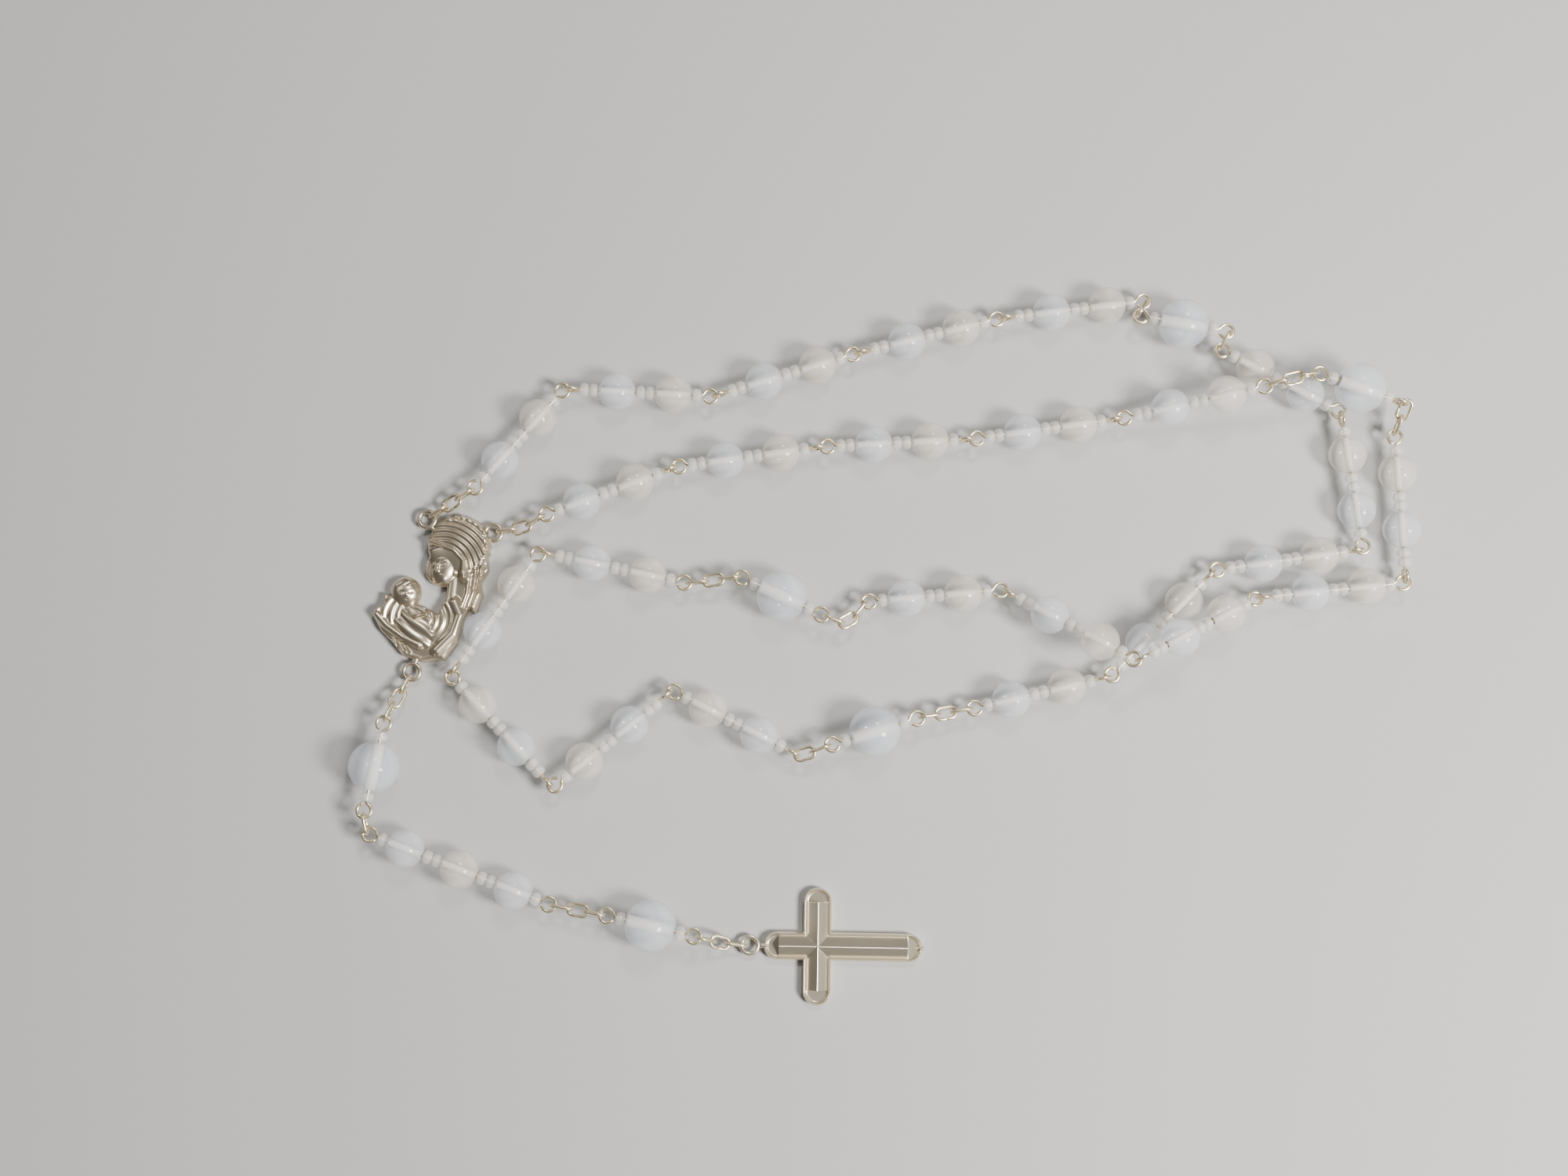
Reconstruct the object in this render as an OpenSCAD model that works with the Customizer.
// A rosary of glass beads on eye pins, lying open on a flat surface.
// Fifty small beads in five decades, four big beads between them, a centre medal,
// and a pendant with three small beads, two big beads and a cross.
// Every eye loop and chain link is linked with its neighbours, with a small gap between the wires.

/* [Wire] */
// Thickness of the wire of the pins and chain links
wire_d = 0.6; // [0.5:0.05:0.65]
// Distance between the middles of two wires that cross where they are linked
link_gap = 0.68; // [0.66:0.01:0.74]
// Middle radius of the eye loop at each end of a pin
loop_r = 1.1; // [1.05:0.05:1.2]
// Length of a chain link, measured between the middles of its wire
link_l = 3.28; // [3.2:0.02:3.4]
// Width of a chain link, measured between the middles of its wire
link_w = 1.8; // [1.7:0.1:1.9]

/* [Beads] */
// Diameter of a small bead
small_d = 6; // [5.9:0.05:6]
// Diameter of a big bead
big_d = 8; // [7.8:0.1:8]
// Diameter of the hole through a bead or a seed bead
bore_d = 0.76; // [0.7:0.02:0.8]
// Diameter of a seed bead
seed_d = 2.2; // [2:0.1:2.3]
// Length of a seed bead along the wire
seed_l = 1.5; // [1.45:0.01:1.5]

/* [Centre medal] */
// Thickness of the medal's plate
medal_t = 1.6; // [1.4:0.1:1.8]
// Height of the highest point of the medal's relief
medal_h = 3.4; // [3:0.1:3.8]
// Thickness of the wire of the medal's and the cross's eyes
eye_d = 0.7; // [0.6:0.05:0.8]
// Middle radius of the medal's and the cross's eyes
eye_r = 1.3; // [1.25:0.05:1.4]

/* [Cross] */
// Length of the cross from its top end to its foot
cross_l = 24.6; // [23:0.2:26]
// Width across the two arms
cross_w = 18; // [17:0.2:19]
// Width of one arm
arm_w = 4.3; // [4:0.1:4.6]
// Thickness of the cross's plate
cross_t = 1.5; // [1.2:0.1:1.8]
// Height of the raised ridge above the plate
ridge_h = 1.1; // [0.8:0.1:1.4]

/* [Hidden] */
$fn = 40;
wire_r = wire_d / 2;
// From the middle of a loop's outer wire to the first seed bead
loop_room = 2 * loop_r + wire_r;
// Height of the middle of a small bead, of a big bead and of the medal's eyes
low = small_d / 2;
high = big_d / 2;
eye_z = 1.1;
// Height at which one strand rests on the beads of another
rest_top = 10;

// Kinds of piece in the route: a chain link, a pin with a big bead, and pins with a
// milky and a clear bead in either order. The pin next to a chain has one seed bead fewer.
LINK = 0;
BIG = 1;
MILKY_FIRST_END = 2;
MILKY_FIRST = 3;
CLEAR_FIRST = 4;
CLEAR_FIRST_END = 5;
THREE = 6;

// Seed beads before, between and after the beads of each kind of pin
function seeds(kind) =
    kind == BIG ? [1, 1] :
    kind == MILKY_FIRST_END ? [1, 2, 1] :
    kind == MILKY_FIRST ? [2, 2, 1] :
    kind == CLEAR_FIRST ? [1, 2, 2] :
    kind == CLEAR_FIRST_END ? [1, 2, 1] :
    [1, 2, 2, 1];
// Beads of each kind of pin, first to last: "m" milky, "c" clear, "b" big
function beads(kind) =
    kind == BIG ? ["b"] :
    kind == THREE ? ["m", "c", "m"] :
    kind == MILKY_FIRST || kind == MILKY_FIRST_END ? ["m", "c"] :
    ["c", "m"];
function bead_d(which) = which == "b" ? big_d : small_d;
// Distance along the pin from its first outer wire to the near side of bead i
function bead_start(kind, i) =
    i == 0 ? loop_room + seeds(kind)[0] * seed_l :
    bead_start(kind, i - 1) + bead_d(beads(kind)[i - 1]) + seeds(kind)[i] * seed_l;
function bead_mid(kind, i) = bead_start(kind, i) + bead_d(beads(kind)[i]) / 2;
// Length between the middles of the outermost wires
function piece_l(kind) =
    kind == LINK ? link_l :
    bead_start(kind, len(beads(kind))) + loop_room;

// Unit direction with a heading in the plane and a slope, both in degrees
function dir(heading, slope) =
    [cos(heading) * cos(slope), sin(heading) * cos(slope), sin(slope)];

// Places the pieces of a route one after another. A route is a list of
// [kind, heading, height of the far end]. Each placed piece is
// [start, heading, slope, roll of the first loop, pivot, far end, kind].
// A flat loop is linked with an upright one, so the roll goes on from piece to piece.
function slope_of(piece, far, slope, flat) =
    flat ? asin((piece[2] - far[2]) / (piece_l(piece[0]) - link_gap)) :
    asin((piece[2] - far[2] + link_gap * sin(slope)) / piece_l(piece[0]));
function start_of(piece, far, heading, slope, new_slope, flat) =
    far - link_gap * (flat ? dir(heading, new_slope) : dir(piece[1], slope));
function place(route, far, heading, slope = 0, flat = true, i = 0) =
    i == len(route) ? [] :
    let (
        piece = route[i],
        new_slope = slope_of(piece, far, slope, flat),
        start = start_of(piece, far, heading, slope, new_slope, flat),
        new_far = start + piece_l(piece[0]) * dir(piece[1], new_slope),
        placed = [start, piece[1], new_slope, flat ? 90 : 0, (far + start) / 2, new_far, piece[0]]
    )
    concat([placed],
        place(route, new_far, piece[1], new_slope, piece[0] == LINK ? !flat : true, i + 1));

// The lie of the rosary. Headings are whole degrees, counter-clockwise from +X.
medal_at = [-55.3, -1.9];
eye_left = [-1.6, 12.8];
eye_right = [9, 10.6];
eye_bottom = [-3.5, -11.6];
left_heading = 40;
right_heading = 20;
bottom_heading = -110;
function eye_far(eye, heading) =
    concat(medal_at + eye, [eye_z]) + eye_r * dir(heading, 0);
// Heights of a chain that climbs from the medal to the first small bead
climb = [1.9, 2.7, low + 0.1];

chain_left = [for (i = [0:2]) [LINK, 30, climb[i]]];
chain_right = [for (i = [0:2]) [LINK, [5, 15, 30][i], climb[i]]];
decade_1 = [
    [MILKY_FIRST_END, 49, low], [MILKY_FIRST, -3, low], [MILKY_FIRST, 17, low],
    [MILKY_FIRST, 14, low], [MILKY_FIRST, 7, low]];
big_1 = [[LINK, -120, high], [BIG, -11, 4.3], [LINK, -120, 3.2]];
decade_2 = [
    [CLEAR_FIRST_END, -28, low], [CLEAR_FIRST_END, -83, low], [CLEAR_FIRST, -172, low],
    [CLEAR_FIRST, -135, low], [CLEAR_FIRST_END, -167, low]];
big_2 = [
    [LINK, -170, low], [LINK, -170, 3.4], [LINK, -170, high], [BIG, -163, 4.2],
    [LINK, -160, 3.6], [LINK, -165, low]];
decade_3 = [
    [MILKY_FIRST_END, 153, low], [MILKY_FIRST, 219, low], [MILKY_FIRST, 133, low],
    [MILKY_FIRST, 55, low], [MILKY_FIRST, -12, low]];
big_3 = [
    [LINK, 5, low], [LINK, 10, 3.4], [LINK, 5, high], [BIG, -25, 4.2],
    [LINK, -20, 3.6], [LINK, 30, low], [LINK, 50, low]];
decade_4 = [
    [MILKY_FIRST_END, 5, low], [MILKY_FIRST, -31, rest_top], [MILKY_FIRST, 27, 3.4],
    [MILKY_FIRST, 6, low], [MILKY_FIRST, 92, low]];
big_4 = [
    [LINK, 72, 4.3], [LINK, 72, 5.4], [BIG, 162, 7.2],
    [LINK, 195, 7.8], [LINK, 195, 7.9], [LINK, 195, 7.3]];
decade_5_start = [[CLEAR_FIRST, 191, low], [CLEAR_FIRST, 188, low], [CLEAR_FIRST, 183, low]];

// The last two pins close the loop: their headings follow from the triangle
// between the third pin's end and the chain at the medal's right eye.
right = place(chain_right, eye_far(eye_right, right_heading), right_heading);
open_loop = place(
    concat(chain_left, decade_1, big_1, decade_2, big_2, decade_3, big_3, decade_4, big_4,
        decade_5_start),
    eye_far(eye_left, left_heading), left_heading);
loose_end = open_loop[len(open_loop) - 1];
corner = loose_end[5] - link_gap * dir(loose_end[1], 0);
across = right[2][5] - corner;
across_l = norm([across[0], across[1]]);
side_a = piece_l(CLEAR_FIRST) - link_gap;
side_b = piece_l(CLEAR_FIRST_END) - link_gap;
heading_a = atan2(across[1], across[0])
    - acos((side_a ^ 2 + across_l ^ 2 - side_b ^ 2) / (2 * side_a * across_l));
elbow = corner + side_a * dir(heading_a, 0);
heading_b = atan2(right[2][5][1] - elbow[1], right[2][5][0] - elbow[0]);
closing = place([[CLEAR_FIRST, heading_a, low], [CLEAR_FIRST_END, heading_b, low]],
    loose_end[5], loose_end[1]);
loop = concat(open_loop, closing);

// Place in the loop of the first pin of each decade and of each big bead
DECADE_AT = [3, 11, 22, 34, 45];
BIG_AT = [9, 19, 30, 41];
// Chain links before and after each big bead of the loop
LINKS_BEFORE = [1, 3, 3, 2];
LINKS_AFTER = [1, 2, 3, 3];

pendant = place([
    [LINK, -115, 2], [LINK, -115, 3], [LINK, -115, high], [BIG, -101, 4.2],
    [LINK, -80, 3.5], [THREE, -21, low],
    [LINK, -10, low], [LINK, -10, 3.4], [LINK, -10, high], [BIG, -13, 4.2],
    [LINK, -15, 2.7], [LINK, -15, 1.5], [LINK, -5, eye_z]],
    eye_far(eye_bottom, bottom_heading), bottom_heading);
cross_heading = -1;
cross_eye = pendant[12][5] + (eye_r - link_gap) * dir(cross_heading, 0);

// Moves the whole rosary so that its box is centred on the origin
centring = [-16.55, 8.41, 0.03];

// Names of the nodes
DECADES = [1:5];
LINKS = [1:5];
LOOP_BIGS = [1:4];
BIGS = [1:6];

// ---- Placing ----

// Lays its children, drawn along +X from the first outer wire, where a placed piece lies
module lay(placed) {
    translate(centring + placed[0]) rotate([0, -placed[2], placed[1]]) children();
}

// ---- Wire ----

// Ring of wire in the XY plane
module ring(middle_r, thickness) {
    rotate_extrude($fn = 32) translate([middle_r, 0]) circle(d = thickness, $fn = 16);
}

// Eye pin: a straight wire with a closed loop at each end
module eye_pin(kind, roll) {
    length = piece_l(kind);
    color("lightgoldenrodyellow") {
        rotate([roll, 0, 0]) translate([loop_r, 0, 0]) ring(loop_r, wire_d);
        translate([2 * loop_r, 0, 0]) rotate([0, 90, 0])
            cylinder(h = length - 4 * loop_r, d = wire_d, $fn = 16);
        translate([length - loop_r, 0, 0]) ring(loop_r, wire_d);
    }
}

// Half of a chain link's bend
module link_bend() {
    rotate_extrude(angle = 180, $fn = 32) translate([link_w / 2, 0]) circle(d = wire_d, $fn = 16);
}

// Chain link: an oval of wire with two straight sides
module chain_link(roll) {
    straight = link_l - link_w;
    color("khaki") rotate([roll, 0, 0]) translate([link_w / 2, 0, 0]) {
        rotate([0, 0, 90]) link_bend();
        translate([straight, 0, 0]) rotate([0, 0, -90]) link_bend();
        for (side = [-1, 1])
            translate([0, side * link_w / 2, 0]) rotate([0, 90, 0])
                cylinder(h = straight, d = wire_d, $fn = 16);
    }
}

module chain(route, from, count) {
    for (i = [from:from + count - 1]) lay(route[i]) chain_link(route[i][3]);
}

// ---- Beads ----

// Round bead with a hole along X
module bead(diameter) {
    rotate([0, 90, 0]) difference() {
        sphere(d = diameter, $fn = 40);
        cylinder(h = diameter + 1, d = bore_d, center = true, $fn = 16);
    }
}

// Seed bead: a small round ring of glass
module seed_bead() {
    rotate([0, 90, 0]) rotate_extrude($fn = 24) intersection() {
        translate([bore_d / 2, 0]) circle(d = seed_l - 0.02, $fn = 24);
        translate([bore_d / 2, -seed_l / 2]) square([(seed_d - bore_d) / 2, seed_l]);
    }
}

// Seed beads of a pin, in each of the spaces between its loops and beads
module seed_row(kind) {
    counts = seeds(kind);
    for (space = [0:len(counts) - 1]) {
        from = space == 0 ? loop_room :
            bead_start(kind, space - 1) + bead_d(beads(kind)[space - 1]);
        for (n = [0:counts[space] - 1])
            color("whitesmoke") translate([from + (n + 0.5) * seed_l, 0, 0]) seed_bead();
    }
}

// Beads of a pin that are of one glass
module bead_row(kind, which, tint) {
    for (i = [0:len(beads(kind)) - 1])
        if (beads(kind)[i] == which)
            color(tint) translate([bead_mid(kind, i), 0, 0]) bead(bead_d(which));
}

module milky_beads(kind) { bead_row(kind, "m", "aliceblue"); }
module clear_beads(kind) { bead_row(kind, "c", "wheat"); }
module big_bead(kind) { bead_row(kind, "b", "lavender"); }

// ---- Sub-parts ----

// One link of a decade: an eye pin that carries a milky bead, a clear bead and seed beads
module decade_link(d, n) {
    placed = loop[DECADE_AT[d - 1] + n - 1];
    kind = placed[6];
    lay(placed) {
        eye_pin(kind, placed[3]);
        milky_beads(kind);
        clear_beads(kind);
        seed_row(kind);
    }
}

function big_place(b) = b <= 4 ? loop[BIG_AT[b - 1]] : b == 5 ? pendant[3] : pendant[9];

module our_father_bead(b) { lay(big_place(b)) big_bead(BIG); }
module our_father_eye_pin(b) { lay(big_place(b)) eye_pin(BIG, big_place(b)[3]); }
module our_father_seed_beads(b) { lay(big_place(b)) seed_row(BIG); }

// Chain on both sides of a big bead of the loop
module our_father_chain(b) {
    chain(loop, BIG_AT[b - 1] - LINKS_BEFORE[b - 1], LINKS_BEFORE[b - 1]);
    chain(loop, BIG_AT[b - 1] + 1, LINKS_AFTER[b - 1]);
}

module medal_chain_left() { chain(loop, 0, 3); }
module medal_chain_right() { chain(right, 0, 3); }
module pendant_chain_1() { chain(pendant, 0, 3); }
module pendant_chain_2() { chain(pendant, 4, 1); }
module pendant_chain_3() { chain(pendant, 6, 3); }
module pendant_chain_4() { chain(pendant, 10, 3); }
module hail_mary_eye_pin() { lay(pendant[5]) eye_pin(THREE, pendant[5][3]); }
module hail_mary_milky_beads() { lay(pendant[5]) milky_beads(THREE); }
module hail_mary_clear_bead() { lay(pendant[5]) clear_beads(THREE); }
module hail_mary_seed_beads() { lay(pendant[5]) seed_row(THREE); }

// Part of a sphere that stands on the medal's plate: its radius there and its height
module dome(foot_r, height) {
    ball_r = (foot_r ^ 2 + height ^ 2) / (2 * height);
    intersection() {
        translate([0, 0, height - ball_r]) sphere(r = ball_r, $fn = 48);
        translate([0, 0, -0.3]) cylinder(r = foot_r + 1, h = height + 1, $fn = 48);
    }
}

// Outline of the mother's veiled head and shoulders with the child in the crook of the arm
module medal_outline() {
    veil = [3.6, 8.4];
    difference() {
        union() {
            translate(veil) circle(r = 5, $fn = 64);
            translate([1.2, 4.9]) circle(r = 3, $fn = 48);
            translate([-4.8, 1.1]) circle(r = 2.5, $fn = 48);
            polygon([[3.2, 5], [8.2, 6.4], [8.4, 4.6], [7.2, 2.6], [7.5, 0.6], [6.4, -2.4],
                [5.4, -1.6], [4.4, -3.6], [3.6, -7], [1.6, -9.7], [-1.8, -10.1], [-5, -9],
                [-6.6, -7], [-8.6, -5], [-10, -2.4], [-9.6, -1.4], [-8.4, -1], [-8, 1],
                [-7, 0.4], [-3, -0.8], [-1.2, -1.2], [0.4, -2.4], [1.6, 0.2], [1.8, 2.6]]);
        }
        translate([-0.5, -0.1]) circle(r = 1.5, $fn = 32);
    }
}

// Eye of the medal or the cross, with a neck that runs back to the body
module eye(at, heading) {
    translate([at[0], at[1], eye_z]) {
        ring(eye_r, eye_d);
        rotate([0, 0, heading + 180]) translate([eye_r, 0, 0]) rotate([0, 90, 0])
            cylinder(h = 1.4, d = eye_d, $fn = 16);
    }
}

module centre_medal() {
    relief = medal_h - medal_t;
    color("tan") translate(centring + [medal_at[0], medal_at[1], 0]) {
        linear_extrude(height = medal_t) medal_outline();
        translate([3.6, 8.4, medal_t]) dome(4.6, relief);
        translate([1.5, 5, medal_t]) dome(2.7, relief * 0.8);
        translate([-4.8, 1.1, medal_t]) dome(2.2, relief * 0.8);
        translate([-3, -5.2, medal_t]) dome(3.8, relief * 0.7);
        translate([3.2, -3, medal_t]) dome(2.2, relief * 0.4);
        eye(eye_left, 122);
        eye(eye_right, 25);
        eye(eye_bottom, bottom_heading);
    }
}

// Arm of the cross with two round ends and a ridge along it; it runs along X from a to b
module cross_arm(from, to) {
    end_r = arm_w / 2;
    inset = 1.5;
    linear_extrude(height = cross_t) {
        translate([from + end_r, 0]) circle(r = end_r, $fn = 48);
        translate([to - end_r, 0]) circle(r = end_r, $fn = 48);
        translate([from + end_r, -end_r]) square([to - from - arm_w, arm_w]);
    }
    translate([from + inset, 0, cross_t - 0.2]) rotate([90, 0, 90])
        linear_extrude(height = to - from - 2 * inset)
            polygon([[-1.6, 0], [1.6, 0], [1.6, 0.3], [0, 0.3 + ridge_h], [-1.6, 0.3]]);
}

module cross() {
    top = eye_r + 0.9;
    middle = top + 8.3;
    color("burlywood") translate(centring + cross_eye) rotate([0, 0, cross_heading]) {
        ring(eye_r, eye_d);
        translate([0, 0, -eye_z]) {
            cross_arm(top, top + cross_l);
            translate([middle, 0, 0]) rotate([0, 0, 90]) cross_arm(-cross_w / 2, cross_w / 2);
        }
        translate([eye_r, 0, 0]) rotate([0, 90, 0]) cylinder(h = 1.6, d = eye_d, $fn = 16);
        translate([top + cross_l - 0.4, 0, -0.3]) sphere(r = 0.7, $fn = 24);
    }
}

for (d = DECADES)
    for (n = LINKS)
        decade_link(d, n);
for (b = BIGS) {
    our_father_bead(b);
    our_father_eye_pin(b);
    our_father_seed_beads(b);
}
for (b = LOOP_BIGS)
    our_father_chain(b);
medal_chain_left();
medal_chain_right();
centre_medal();
pendant_chain_1();
pendant_chain_2();
pendant_chain_3();
pendant_chain_4();
hail_mary_eye_pin();
hail_mary_milky_beads();
hail_mary_clear_bead();
hail_mary_seed_beads();
cross();
